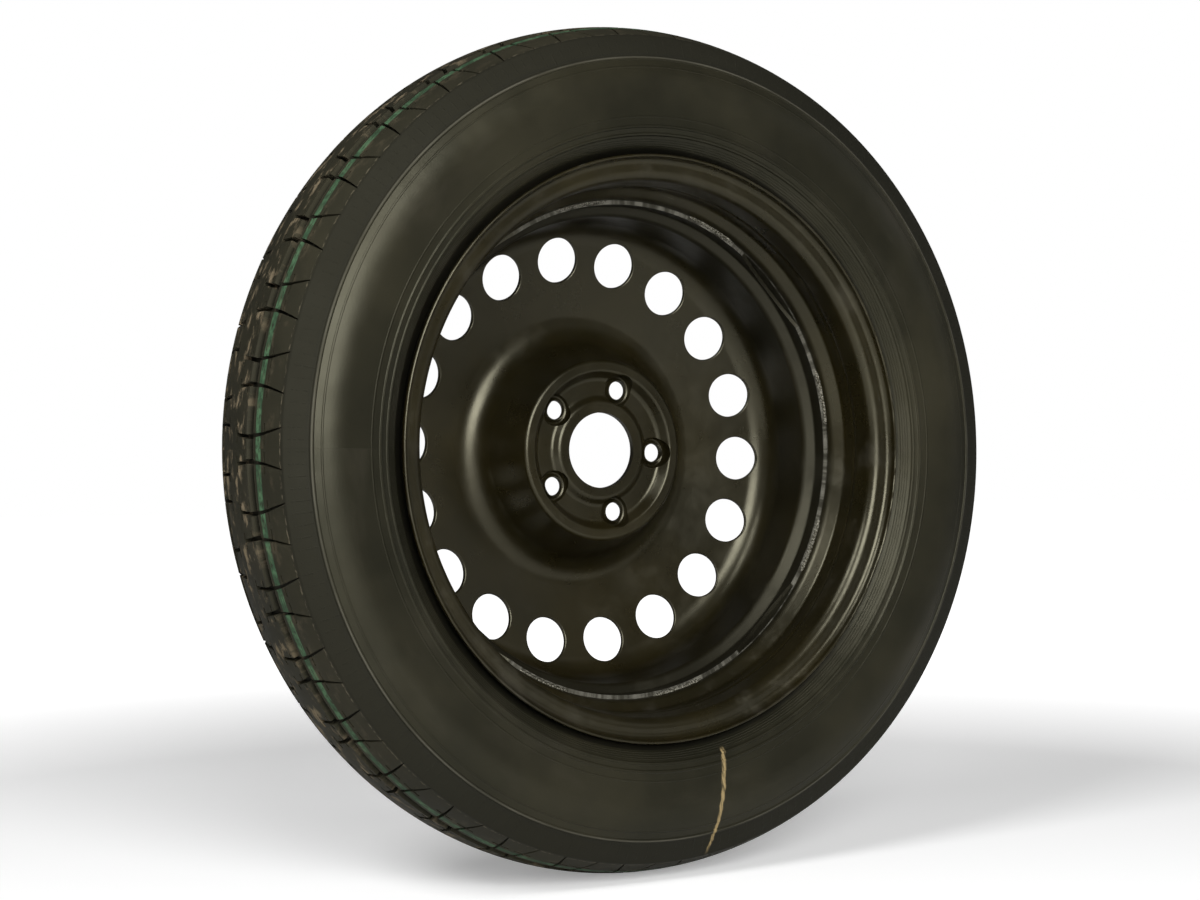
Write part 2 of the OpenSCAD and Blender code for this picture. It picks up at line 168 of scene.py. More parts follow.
def lathe(name, profile, segments, start=0.0):
    """Closed outline turned round the axle."""
    profile = thin(profile)
    n = len(profile)
    verts, faces = [], []
    for j in range(segments):
        phi = start + 2 * math.pi * j / segments
        verts += [place(r, s, phi) for r, s in profile]
    for j in range(segments):
        k = (j + 1) % segments
        for i in range(n):
            m = (i + 1) % n
            faces.append((j * n + i, j * n + m, k * n + m, k * n + i))
    return mesh_object(name, verts, faces)


def mesh_object(name, verts, faces, fix=True):
    mesh = bpy.data.meshes.new(name)
    mesh.from_pydata(verts, [], faces)
    if fix:
        bm = bmesh.new()
        bm.from_mesh(mesh)
        bmesh.ops.recalc_face_normals(bm, faces=bm.faces)
        bm.to_mesh(mesh)
        bm.free()
    mesh.update()
    obj = bpy.data.objects.new(name, mesh)
    bpy.context.scene.collection.objects.link(obj)
    return obj


def local_lathe(name, profile, segments, matrix):
    """Closed outline [radius, height] turned round z, then put in place with matrix, in millimetres."""
    profile = thin(profile, 0.001)
    n = len(profile)
    verts, faces = [], []
    for j in range(segments):
        phi = 2 * math.pi * j / segments
        for r, z in profile:
            v = matrix @ Vector((r * math.cos(phi), r * math.sin(phi), z))
            verts.append((v.x / 1000, v.y / 1000, v.z / 1000))
    for j in range(segments):
        k = (j + 1) % segments
        for i in range(n):
            m = (i + 1) % n
            faces.append((j * n + i, j * n + m, k * n + m, k * n + i))
    return mesh_object(name, verts, faces)


def drum(name, r0, r1, z0, z1, matrix, segments=72):
    """Capped cylinder or cone along local z, in millimetres."""
    verts, faces = [], []
    for r, z in ((r0, z0), (r1, z1)):
        for j in range(segments):
            phi = 2 * math.pi * j / segments
            v = matrix @ Vector((r * math.cos(phi), r * math.sin(phi), z))
            verts.append((v.x / 1000, v.y / 1000, v.z / 1000))
    for j in range(segments):
        k = (j + 1) % segments
        faces.append((j, k, segments + k, segments + j))
    faces.append(tuple(range(segments))[::-1])
    faces.append(tuple(range(segments, 2 * segments)))
    return mesh_object(name, verts, faces)


ON_AXLE = Matrix.Rotation(math.radians(90), 4, "X")


def about(phase):
    return ON_AXLE @ Matrix.Rotation(math.radians(phase), 4, "Z")


def boolean(obj, cutters, how):
    for c in cutters:
        m = obj.modifiers.new("cut", "BOOLEAN")
        m.operation = how
        m.solver = "MANIFOLD"
        m.object = c
    bpy.context.view_layer.update()
    dg = bpy.context.evaluated_depsgraph_get()
    new = bpy.data.meshes.new_from_object(obj.evaluated_get(dg))
    obj.modifiers.clear()
    old = obj.data
    obj.data = new
    bpy.data.meshes.remove(old)
    for c in cutters:
        mesh = c.data
        bpy.data.objects.remove(c)
        bpy.data.meshes.remove(mesh)
    return obj


def join(name, objects):
    bm = bmesh.new()
    for o in objects:
        bm.from_mesh(o.data)
    mesh = bpy.data.meshes.new(name)
    bm.to_mesh(mesh)
    bm.free()
    for o in objects:
        old = o.data
        bpy.data.objects.remove(o)
        bpy.data.meshes.remove(old)
    obj = bpy.data.objects.new(name, mesh)
    bpy.context.scene.collection.objects.link(obj)
    return obj


def shade(obj, angle=30.0, weld=1e-6):
    bm = bmesh.new()
    bm.from_mesh(obj.data)
    bmesh.ops.remove_doubles(bm, verts=bm.verts, dist=weld)
    bm.to_mesh(obj.data)
    bm.free()
    for p in obj.data.polygons:
        p.use_smooth = True
    obj.data.set_sharp_from_angle(angle=math.radians(angle))
    obj.data.update()


def turned_normals(obj, paths, near=0.06):
    """Gives every corner that lies on a turned surface the true normal of its section."""
    pts, nrm = [], []
    for path in paths:
        p = [np.array(v, float) for v in thin(path, 0.001)]
        seg = [(b - a) / np.linalg.norm(b - a) for a, b in zip(p, p[1:])]
        for i, (a, b) in enumerate(zip(p, p[1:])):
            d0 = seg[i - 1] if i and seg[i - 1] @ seg[i] > 0.86 else seg[i]
            d1 = seg[i + 1] if i + 1 < len(seg) and seg[i + 1] @ seg[i] > 0.86 else seg[i]
            n = max(2, int(np.linalg.norm(b - a) / 0.12))
            for u in np.linspace(0, 1, n):
                d = (1 - u) * (d0 + seg[i]) / 2 + u * (d1 + seg[i]) / 2
                d /= np.linalg.norm(d)
                pts.append(a + u * (b - a))
                nrm.append((d[1], -d[0]))
    tree = KDTree(len(pts))
    for i, q in enumerate(pts):
        tree.insert((q[0], q[1], 0), i)
    tree.balance()
    mesh = obj.data
    corner = [tuple(c.vector) for c in mesh.corner_normals]
    flat = []
    for v in mesh.vertices:
        r = math.hypot(v.co.x, v.co.z)
        _, i, dist = tree.find((r * 1000, -v.co.y * 1000, 0))
        flat.append((nrm[i], v.co.x / max(r, 1e-9), v.co.z / max(r, 1e-9)) if dist < near else None)
    for poly in mesh.polygons:
        for li in poly.loop_indices:
            f = flat[mesh.loops[li].vertex_index]
            if f is None:
                continue
            (nr, ns), cx, cz = f
            n = Vector((nr * cx, -ns, nr * cz))
            k = n.dot(poly.normal)
            if abs(k) > 0.9:
                corner[li] = tuple(n if k > 0 else -n)
    mesh.normals_split_custom_set(corner)
    mesh.update()


# Tyre: sidewalls and beads turned as one piece, the tread built from one repeat of its pattern

CROWN_C = TYRE_R - CROWN_R
EDGE_A = math.degrees(math.asin(TREAD_HALF / CROWN_R))
EDGE_R = CROWN_C + CROWN_R * math.cos(math.radians(EDGE_A))


def crown(s, d=0.0):
    return CROWN_C + math.sqrt((CROWN_R - d) ** 2 - s ** 2)


G_IN = RING_GROOVE_S - RING_GROOVE_W / 2
G_OUT = RING_GROOVE_S + RING_GROOVE_W / 2
TOE_S = FLANGE_S - 17
TOE_R = SEAT_R - (FLANGE_S - TOE_S) * tand(SEAT_SLOPE)

crown_out = [(crown(s), s) for s in np.linspace(0, G_IN - 0.5, 6)]
crown_out += [(crown(G_IN + 0.1, 1.0), G_IN), (crown(G_IN + 0.4, GROOVE_D - 0.8), G_IN + 0.3),
              (crown(G_IN + 1.2, GROOVE_D), G_IN + 1.2), (crown(G_OUT - 1.2, GROOVE_D), G_OUT - 1.2),
              (crown(G_OUT - 0.4, GROOVE_D - 0.8), G_OUT - 0.3), (crown(G_OUT - 0.1, 1.0), G_OUT)]
crown_out += [(crown(s), s) for s in np.linspace(G_OUT + 0.5, TREAD_HALF - 2.5, 7)]
side_out = smooth([
    (crown(TREAD_HALF - 2), TREAD_HALF - 2, 0),
    (EDGE_R - 0.3, TREAD_HALF + 0.4, 3),
    (EDGE_R - 9, TREAD_HALF + 4.4, 14),
    (MOULD_RING_R + 1.6, SECTION_HALF - 6, 0.8),
    (MOULD_RING_R + 1.1, SECTION_HALF - 5, 0.3),
    (MOULD_RING_R - 1.1, SECTION_HALF - 4.4, 0.3),
    (MOULD_RING_R - 1.7, SECTION_HALF - 5.1, 0.8),
    (SECTION_R, SECTION_HALF + 0.5, 52),
    (LIP_R + 22.2, SECTION_HALF - 3.9, 1),
    (LIP_R + 21.6, SECTION_HALF - 3.2, 0.3),
    (LIP_R + 20.2, SECTION_HALF - 3.5, 0.3),
    (LIP_R + 19.6, SECTION_HALF - 4.6, 1),
    (LIP_R + 16, SECTION_HALF - 5.6, 1),
    (LIP_R + 15.4, SECTION_HALF - 4.9, 0.3),
    (LIP_R + 14, SECTION_HALF - 5.4, 0.3),
    (LIP_R + 13.4, SECTION_HALF - 6.8, 1),
    (LIP_R + 4.7, FLANGE_S + 5.5, 4),
    (LIP_R - 2, FLANGE_S - 0.1, 2.5),
    (SEAT_R + 0.1, FLANGE_S - 0.1, 6.4),
    (TOE_R + 0.1, TOE_S, 0),
], 5.0)
IN_R = CROWN_R - TREAD_T
crown_in = [(CROWN_C + IN_R * math.cos(math.radians(a)), IN_R * math.sin(math.radians(a)))
            for a in np.linspace(0, 22, 6)]
side_in = smooth([
    (CROWN_C + IN_R * math.cos(math.radians(22)), IN_R * math.sin(math.radians(22)), 0),
    (MOULD_RING_R + 2, SECTION_HALF - SIDEWALL_T - 7, 20),
    (SECTION_R, SECTION_HALF - SIDEWALL_T, 60),
    (LIP_R + 24, SECTION_HALF - SIDEWALL_T - 4, 20),
    (LIP_R + 8, FLANGE_S - 4, 20),
    (SEAT_R + 9, TOE_S + 4, 8),
    (TOE_R + 2, TOE_S - 1.5, 1),
    (TOE_R + 0.1, TOE_S, 0),
], 8.0)
half_out = thin(crown_out + side_out[1:], 0.05)
half_in = thin(crown_in + side_in[1:-1], 0.05)
JOINT_R = MOULD_RING_R + 5
cut = next(i for i, p in enumerate(half_out) if p[0] < JOINT_R)
skin_half = half_out[:cut + 1]
side_half = half_out[cut:]
skin = [(r, -s) for r, s in skin_half[::-1]] + skin_half[1:]
SUB = 6
SECTOR = 2 * math.pi / PITCHES


def tyre_sides(name):
    """Everything but the tread's skin, open at the two joints."""
    path = side_half + half_in[::-1] + [(r, -s) for r, s in half_in[1:]]
    path += [(r, -s) for r, s in side_half[::-1]]
    n, segs = len(path), SUB * PITCHES
    verts, faces = [], []
    for j in range(segs):
        phi = 2 * math.pi * j / segs - SECTOR / 2
        verts += [place(r, s, phi) for r, s in path]
    for j in range(segs):
        k = (j + 1) % segs
        for i in range(n - 1):
            faces.append((j * n + i, k * n + i, k * n + i + 1, j * n + i + 1))
    return mesh_object(name, verts, faces, fix=False)


def tread_top(s):
    return crown(min(abs(s), TREAD_HALF)) - max(0.0, abs(s) - TREAD_HALF) * SHOULDER_FALL


def groove_block(name, left, right, depth, flip, shift):
    """Prism that cuts a groove; left and right are [across, along the axle] in the tread's surface."""
    verts, faces = [], []
    n = len(left)
    for (tl, s), (tr, _) in zip(left, right):
        for t in (tl, tr):
            phi = (t / crown(min(abs(s), TREAD_HALF))) * flip + shift
            verts.append(place(tread_top(s) - depth, s, phi))
            verts.append(place(tread_top(s) + 8, s, phi))
    for i in range(n - 1):
        a, b = 4 * i, 4 * i + 4
        faces += [(a, a + 2, b + 2, b), (a + 1, b + 1, b + 3, a + 3),
                  (a, b, b + 1, a + 1), (a + 2, a + 3, b + 3, b + 2)]
    e = 4 * (n - 1)
    faces += [(0, 1, 3, 2), (e, e + 2, e + 3, e + 1)]
    return mesh_object(name, verts, faces)


# Edges of the cross grooves, and slits as [across from, to, along the axle from, to, depth]
SHOULDER_L = [(8.0, G_OUT - 2), (8.6, 34), (10.0, 41), (12.6, 50), (14.7, 56.0)]
SHOULDER_R = [(11.6, G_OUT - 2), (11.4, 34), (12.3, 41), (14.4, 50), (15.6, 56.0)]
RIB_L = [(9.4, 6.5), (8.6, 15), (6.8, G_IN + 2)]
RIB_R = [(12.4, 6.5), (11.4, 15), (10.6, G_IN + 2)]
SLITS = [(4.8, 17.0, 6.6, 8.2, 4.5), (2.4, 18.6, 40.0, 41.5, 4.5), (3.0, 16.0, 17.6, 18.9, 4.0)]


def mirrored(edge, half):
    return [(t, s * half) for t, s in edge]


def tread(name):
    inner = [(r - 14 if abs(s) < 50 else r - 9, s * 0.92) for r, s in skin[::-1]]
    outline = skin + inner
    n = len(outline)
    verts, faces = [], []
    for j in range(SUB + 1):
        phi = -SECTOR / 2 + SECTOR * j / SUB
        verts += [place(r, s, phi) for r, s in outline]
    for j in range(SUB):
        for i in range(n):
            m = (i + 1) % n
            faces.append((j * n + i, j * n + m, (j + 1) * n + m, (j + 1) * n + i))
    faces.append(tuple(range(n)))
    faces.append(tuple(SUB * n + i for i in range(n))[::-1])
    block = mesh_object(name, verts, faces)
    cutters, slits = [], []
    # the far half is shifted by half a pitch, so each of its two copies is cut from one side only
    for half, shift, flips in ((1, 0.0, (1, -1)), (-1, -SECTOR / 2, (1,)), (-1, SECTOR / 2, (-1,))):
        for flip in flips:
            for left, right in ((SHOULDER_L, SHOULDER_R), (RIB_L, RIB_R)):
                left, right = mirrored(left, half), mirrored(right, half)
                cutters.append(groove_block("cut", left, right, GROOVE_D, flip, shift))
            for t0, t1, s0, s1, depth in SLITS:
                left, right = mirrored([(t0, s0), (t0, s1)], half), mirrored([(t1, s0), (t1, s1)], half)
                slits.append(groove_block("cut", left, right, depth, flip, shift))
    block = boolean(block, [join("cuts", cutters)], "DIFFERENCE")
    block = boolean(block, [join("slits", slits)], "DIFFERENCE")
    bm = bmesh.new()
    bm.from_mesh(block.data)
    bmesh.ops.remove_doubles(bm, verts=bm.verts, dist=2e-6)
    drop = []
    for f in bm.faces:
        ends, deep = [0, 0], True
        for v in f.verts:
            r, s = math.hypot(v.co.x, v.co.z) * 1000, -v.co.y * 1000
            phi = math.atan2(v.co.z, v.co.x)
            ends[0] += abs(phi + SECTOR / 2) < 1e-5
            ends[1] += abs(phi - SECTOR / 2) < 1e-5
            deep = deep and r < tread_top(s) - GROOVE_D - 2
        if deep or len(f.verts) in ends:
            drop.append(f)
    bmesh.ops.delete(bm, geom=drop, context="FACES")
    unit = bpy.data.meshes.new("unit")
    bm.to_mesh(unit)
    bm.free()
    bm = bmesh.new()
    for k in range(PITCHES):
        turned = unit.copy()
        turned.transform(Matrix.Rotation(-SECTOR * k, 4, "Y"))
        bm.from_mesh(turned)
        bpy.data.meshes.remove(turned)
    bm.to_mesh(block.data)
    bm.free()
    bpy.data.meshes.remove(unit)
    return block


tyre = join("tyre_rubber", [tyre_sides("sides"), tread("tread")])
bm = bmesh.new()
bm.from_mesh(tyre.data)
bmesh.ops.remove_doubles(bm, verts=bm.verts, dist=5e-6)
bmesh.ops.recalc_face_normals(bm, faces=bm.faces)
bm.to_mesh(tyre.data)
bm.free()
shade(tyre, 33.0, 2e-6)
turned_normals(tyre, [half_out, [(r, -s) for r, s in half_out]])

# Rim

rim_path = smooth([
    (LIP_R, LIP_S, 0), (LIP_R, FLANGE_S, 8.5), (SEAT_R, FLANGE_S, 6.5),
    (SEAT_END_R, FLANGE_S - SEAT_LEN, 4), (SEAT_END_R + 0.9, FLANGE_S - SEAT_LEN - 2.5, 3.4),
    (SEAT_END_R, FLANGE_S - SEAT_LEN - 5.5, 3), (SEAT_END_R, 15, 8), (LAND_R, 6, 8),
    (LAND_R, JOGGLE_S, 8), (WELL_R, JOGGLE_S - JOGGLE_LEN, 3), (WELL_R, WALL_LOW_S, 2.2),
    (SEAT_END_R, WALL_TOP_S, 3), (SEAT_R, -FLANGE_S, 6.5), (LIP_R, -FLANGE_S, 8.5),
    (LIP_R, -LIP_S, 0),
], 5.0)
rim = lathe("rim_sheet", sheet(rim_path, RIM_T), 288)
VALVE = about(VALVE_ANGLE) @ Matrix.Translation((VALVE_R, 0, VALVE_S)) @ Matrix.Rotation(
    math.radians(180 + VALVE_TILT), 4, "Y")
rim = boolean(rim, [drum("hole", 5.75, 5.75, -10, 10, VALVE, 48)], "DIFFERENCE")
shade(rim)
turned_normals(rim, [rim_path, shifted(rim_path, RIM_T)])

# Disc


def band_s(r):
    return -VENT_DEPTH + (r - VENT_R) * tand(BAND_TILT)


disc_path = smooth([
    (BORE_R, COLLAR_S, 0), (BORE_R + 9, COLLAR_S, 6), (BORE_R + 14.5, VALLEY_S, 6),
    (60.5, VALLEY_S, 6), (66.5, -HUB_OFFSET, 3.5), (75.5, -HUB_OFFSET, 4.5),
    (FOOT_R, band_s(FOOT_R), 24), (NECK_R, band_s(NECK_R), 24), (NECK_R, D_LOW, 8),
    (SKIRT_R, D_TOP, 3), (SKIRT_R, SKIRT_EDGE_S, 0),
], 3.0)
disc_other = shifted(disc_path, DISC_T)
over = [(BORE_R - 5, COLLAR_S - BORE_L), (BORE_R + 3.2, COLLAR_S - BORE_L),
        (BORE_R + 4.2, COLLAR_S - DISC_T)] + disc_other[1:] + [(SKIRT_OUT_R, 30), (BORE_R - 5, 30)]
under = disc_path + [(LIP_R, SKIRT_EDGE_S), (LIP_R, -200), (BORE_R, -200)]
disc = lathe("disc_sheet", over, 288)
cups = []
for i in range(5):
    at = about(BOLT_PHASE + 72 * i) @ Matrix.Translation((PCD / 2, 0, 0))
    cups.append(local_lathe("cup", [
        (0.001, BOSS_OUT_S), (MOAT_R - 0.4, BOSS_OUT_S), (MOAT_R + 0.6, BOSS_OUT_S + 0.5),
        (MOAT_R + 3, BOSS_OUT_S + 4), (MOAT_R + 3, 20), (0.001, 20)], 64, at))
disc = boolean(disc, [join("cups", cups)], "UNION")
disc = boolean(disc, [lathe("under", under, 288)], "INTERSECT")
cutters = []
for i in range(5):
    at = about(BOLT_PHASE + 72 * i) @ Matrix.Translation((PCD / 2, 0, 0))
    z = VALLEY_S - MOAT_D
    h = BOLT_D / 2
    cutters.append(local_lathe("moat", [
        (SEAT_LIP_R - 0.2, 10), (SEAT_LIP_R - 0.2, z + MOAT_D + 0.1), (SEAT_LIP_R + 0.5, z + MOAT_D - 0.6),
        (SEAT_LIP_R + 1.4, z + 0.6), (SEAT_LIP_R + 2, z), (MOAT_R - 2.6, z), (MOAT_R - 1.2, z + 0.7),
        (MOAT_R - 0.3, z + MOAT_D - 0.9), (MOAT_R + 0.3, z + MOAT_D + 0.2), (MOAT_R + 0.5, 10)], 72, at))
    cutters.append(local_lathe("hole", [
        (0.001, BOSS_OUT_S - 6), (h + 3.3, BOSS_OUT_S - 6), (h + 3.3, BOSS_OUT_S - 0.6),
        (h, BOSS_OUT_S + 3.7), (h, VALLEY_S - 0.9), (h + 0.5, VALLEY_S + 0.1), (h + 0.5, 0),
        (0.001, 0)], 48, at))
for i in range(VENTS):
    at = (about(VENT_PHASE + 20 * i) @ Matrix.Translation((VENT_R, 0, -VENT_DEPTH))
          @ Matrix.Rotation(math.radians(-BAND_TILT), 4, "Y"))
    h = VENT_D / 2
    cutters.append(local_lathe("vent", [
        (0.001, -30), (h, -30), (h, -0.7), (h + 0.25, -0.25), (h + 0.8, 0.02), (h + 0.8, 20),
        (0.001, 20)], 72, at))
half = SKIRT_R * math.sin(math.radians(DIP_ANGLE / 2))
drum_r = (half ** 2 + DIP_D ** 2) / (2 * DIP_D)
for i in range(4):
    at = (about(DIP_PHASE + 90 * i) @ Matrix.Translation((SKIRT_R - 10, 0, SKIRT_EDGE_S - DIP_D + drum_r))
          @ Matrix.Rotation(math.radians(90), 4, "Y"))
    cutters.append(drum("dip", drum_r, drum_r, 0, 20, at, 120))
disc = boolean(disc, [join("cuts", cutters)], "DIFFERENCE")
shade(disc, 32.0)
turned_normals(disc, [disc_path, disc_other])

# Weld beads, each a row of overlapping ripples


def bead(name, centre):
    half_a = math.radians(WELD_ANGLE / 2)
    w = LAND_R - RIM_T - SKIRT_R - 0.4
    verts, faces, ring = [], [], 9
    steps = 96
    for j in range(steps + 1):
        u = j / steps
        phi = math.radians(centre) - half_a + 2 * half_a * u
        end = min(1.0, math.sqrt(max(0.0, 1 - (2 * u - 1) ** 8)) + 0.02)
        ripple = 1 + 0.09 * math.sin(u * 2 * math.pi * 21) + 0.05 * math.sin(u * 31 + centre)
        size = w * end * min(1.0, 0.86 * ripple)
        corner = (LAND_R - RIM_T, SKIRT_EDGE_S)
        pts = [corner] + [(corner[0] - size * math.sin(math.radians(90 * k / (ring - 2))),
                           corner[1] + size * math.cos(math.radians(90 * k / (ring - 2))))
                          for k in range(ring - 1)]
        verts += [place(r, s, phi) for r, s in pts]
    for j in range(steps):
        for i in range(ring):
            m = (i + 1) % ring
            faces.append((j * ring + i, j * ring + m, (j + 1) * ring + m, (j + 1) * ring + i))
    faces.append(tuple(range(ring)))
    faces.append(tuple(steps * ring + i for i in range(ring)))
    return mesh_object(name, verts, faces)


beads = join("weld_ripples", [bead("bead", WELD_PAIR_PHASE + 90 * i + m * WELD_HALF_GAP)
                              for i in range(4) for m in (-1, 1)])
shade(beads, 50.0)

# Valve cap with its ribs

ROOF_Z = VALVE_L + 1.2
CAP_LOW_Z = ROOF_Z + 2 - CAP_L


def ribbed_cap(name):
    outer = [(CAP_R - 0.35, CAP_LOW_Z, 0.0), (CAP_R, CAP_LOW_Z + 0.35, 0.0), (CAP_R, CAP_LOW_Z + 1.4, 0.0),
             (CAP_R - 0.05, CAP_LOW_Z + 1.9, 1.0), (CAP_R - 0.05, CAP_LOW_Z + CAP_L - 2.6, 1.0),
             (CAP_R - 0.1, CAP_LOW_Z + CAP_L - 1.9, 0.2), (CAP_R - 0.7, CAP_LOW_Z + CAP_L - 0.8, 0.0),
             (CAP_R - 1.5, CAP_LOW_Z + CAP_L - 0.25, 0.0), (CAP_R - 2.8, CAP_LOW_Z + CAP_L, 0.0),
             (0.01, CAP_LOW_Z + CAP_L, 0.0), (0.01, ROOF_Z, 0.0), (3.9, ROOF_Z, 0.0), (3.9, CAP_LOW_Z, 0.0)]
    segs, ribs = 240, 30
    verts, faces = [], []
    n = len(outer)
    for j in range(segs):
        phi = 2 * math.pi * j / segs
        wave = 0.5 - 0.5 * math.cos(ribs * phi)
        for r, z, k in outer:
            ribbed = r - 0.32 * k * wave
            v = VALVE @ Vector((ribbed * math.cos(phi), ribbed * math.sin(phi), z))
            verts.append((v.x / 1000, v.y / 1000, v.z / 1000))
    for j in range(segs):
        k = (j + 1) % segs
        for i in range(n):
            m = (i + 1) % n
            faces.append((j * n + i, j * n + m, k * n + m, k * n + i))
    return mesh_object(name, verts, faces)


cap = ribbed_cap("ribbed_cap")
shade(cap, 40.0)

# Materials


def node_tools(name):
    mat = bpy.data.materials.new(name)
    mat.use_nodes = True
    tree = mat.node_tree
    tree.nodes.clear()
    out = tree.nodes.new("ShaderNodeOutputMaterial")
    bsdf = tree.nodes.new("ShaderNodeBsdfPrincipled")
    tree.links.new(bsdf.outputs[0], out.inputs[0])

    def add(kind, **values):
        n = tree.nodes.new(kind)
        for k, v in values.items():
            setattr(n, k, v)
        return n

    def put(socket, value):
        if isinstance(value, bpy.types.NodeSocket):
            tree.links.new(value, socket)
        else:
            socket.default_value = value

    def calc(op, a, b=0.0, clamp=False):
        n = add("ShaderNodeMath", operation=op, use_clamp=clamp)
        put(n.inputs[0], a)
        put(n.inputs[1], b)
        return n.outputs[0]

    def times(a, b):
        return calc("MULTIPLY", a, b)

    def plus(a, b, clamp=False):
        return calc("ADD", a, b, clamp)

    def ramp(value, lo, hi, a=0.0, b=1.0):
        n = add("ShaderNodeMapRange", interpolation_type="SMOOTHSTEP")
        put(n.inputs["Value"], value)
        for key, v in (("From Min", lo), ("From Max", hi), ("To Min", a), ("To Max", b)):
            n.inputs[key].default_value = v
        return n.outputs[0]

    def noise(coords, scale, detail=3.0, rough=0.55):
        n = add("ShaderNodeTexNoise")
        put(n.inputs["Vector"], coords)
        n.inputs["Scale"].default_value = scale
        n.inputs["Detail"].default_value = detail
        n.inputs["Roughness"].default_value = rough
        return n.outputs["Fac"]

    def mix(factor, a, b):
        n = add("ShaderNodeMix", data_type="RGBA")
        put(n.inputs["Factor"], factor)
        put(n.inputs["A"], a)
        put(n.inputs["B"], b)
        return n.outputs["Result"]

    def combine(x, y, z):
        n = add("ShaderNodeCombineXYZ")
        for i, v in enumerate((x, y, z)):
            put(n.inputs[i], v)
        return n.outputs[0]

    def bump(height):
        n = add("ShaderNodeBump")
        put(n.inputs["Height"], height)
        n.inputs["Distance"].default_value = 1.0
        n.inputs["Strength"].default_value = 1.0
        return n.outputs[0]
    coords = add("ShaderNodeTexCoord").outputs["Object"]
    sep = add("ShaderNodeSeparateXYZ")
    put(sep.inputs[0], coords)
    x, y, z = sep.outputs
    return SimpleNamespace(
        mat=mat, bsdf=bsdf, put=put, calc=calc, times=times, plus=plus, ramp=ramp, noise=noise, mix=mix,
        combine=combine, bump=bump, coords=coords, radius=calc("SQRT", plus(times(x, x), times(z, z))),
        angle=calc("ARCTAN2", z, x), s=times(y, -1.0))


def band(k, value, centre, half_width, soft):
    """1 within half_width of centre, falling to 0 over soft."""
    d = k.calc("ABSOLUTE", k.calc("SUBTRACT", value, centre))
    return k.ramp(d, half_width, half_width + soft, 1.0, 0.0)


# Places on the tyre that only its material marks, in metres: distance along the axle, then radius
STRIPE_S, STRIPE_HALF = 0.035, 0.0022
THIN_LINE_S, PALE_EDGE_S = 0.0549, 0.0298
CREST_R, DARK_RING_R, APRON_R = 0.3112, 0.3142, 0.3212
SIDE_RINGS = (0.3035, 0.2640)
# The run of clay starts at RUN_R, at the angle RUN_ANGLE in radians, and leans over by RUN_LEAN for each metre outward
RUN_R, RUN_ANGLE, RUN_LEAN = 0.25, -1.378, -1.10

RUBBER_DARK, RUBBER_BROWN = (0.0078, 0.0074, 0.0044, 1), (0.0215, 0.0190, 0.0105, 1)
RUBBER_FILM, RUBBER_SHADE = (0.028, 0.025, 0.018, 1), (0.0030, 0.0029, 0.0020, 1)
GROOVE_DIRT_AND_SHADE, RING_SHADE = (0.0030, 0.0028, 0.0022, 1), (0.004, 0.0038, 0.003, 1)
STRIPE_LOW, STRIPE_HIGH = (0.020, 0.050, 0.026, 1), (0.048, 0.105, 0.054, 1)
LINE_PALE, EDGE_HIGHLIGHT, CREST_HIGHLIGHT = (0.14, 0.12, 0.08, 1), (0.085, 0.078, 0.055, 1), (0.085, 0.080, 0.062, 1)
MUD, CLAY = (0.21, 0.165, 0.105, 1), (0.27, 0.20, 0.095, 1)


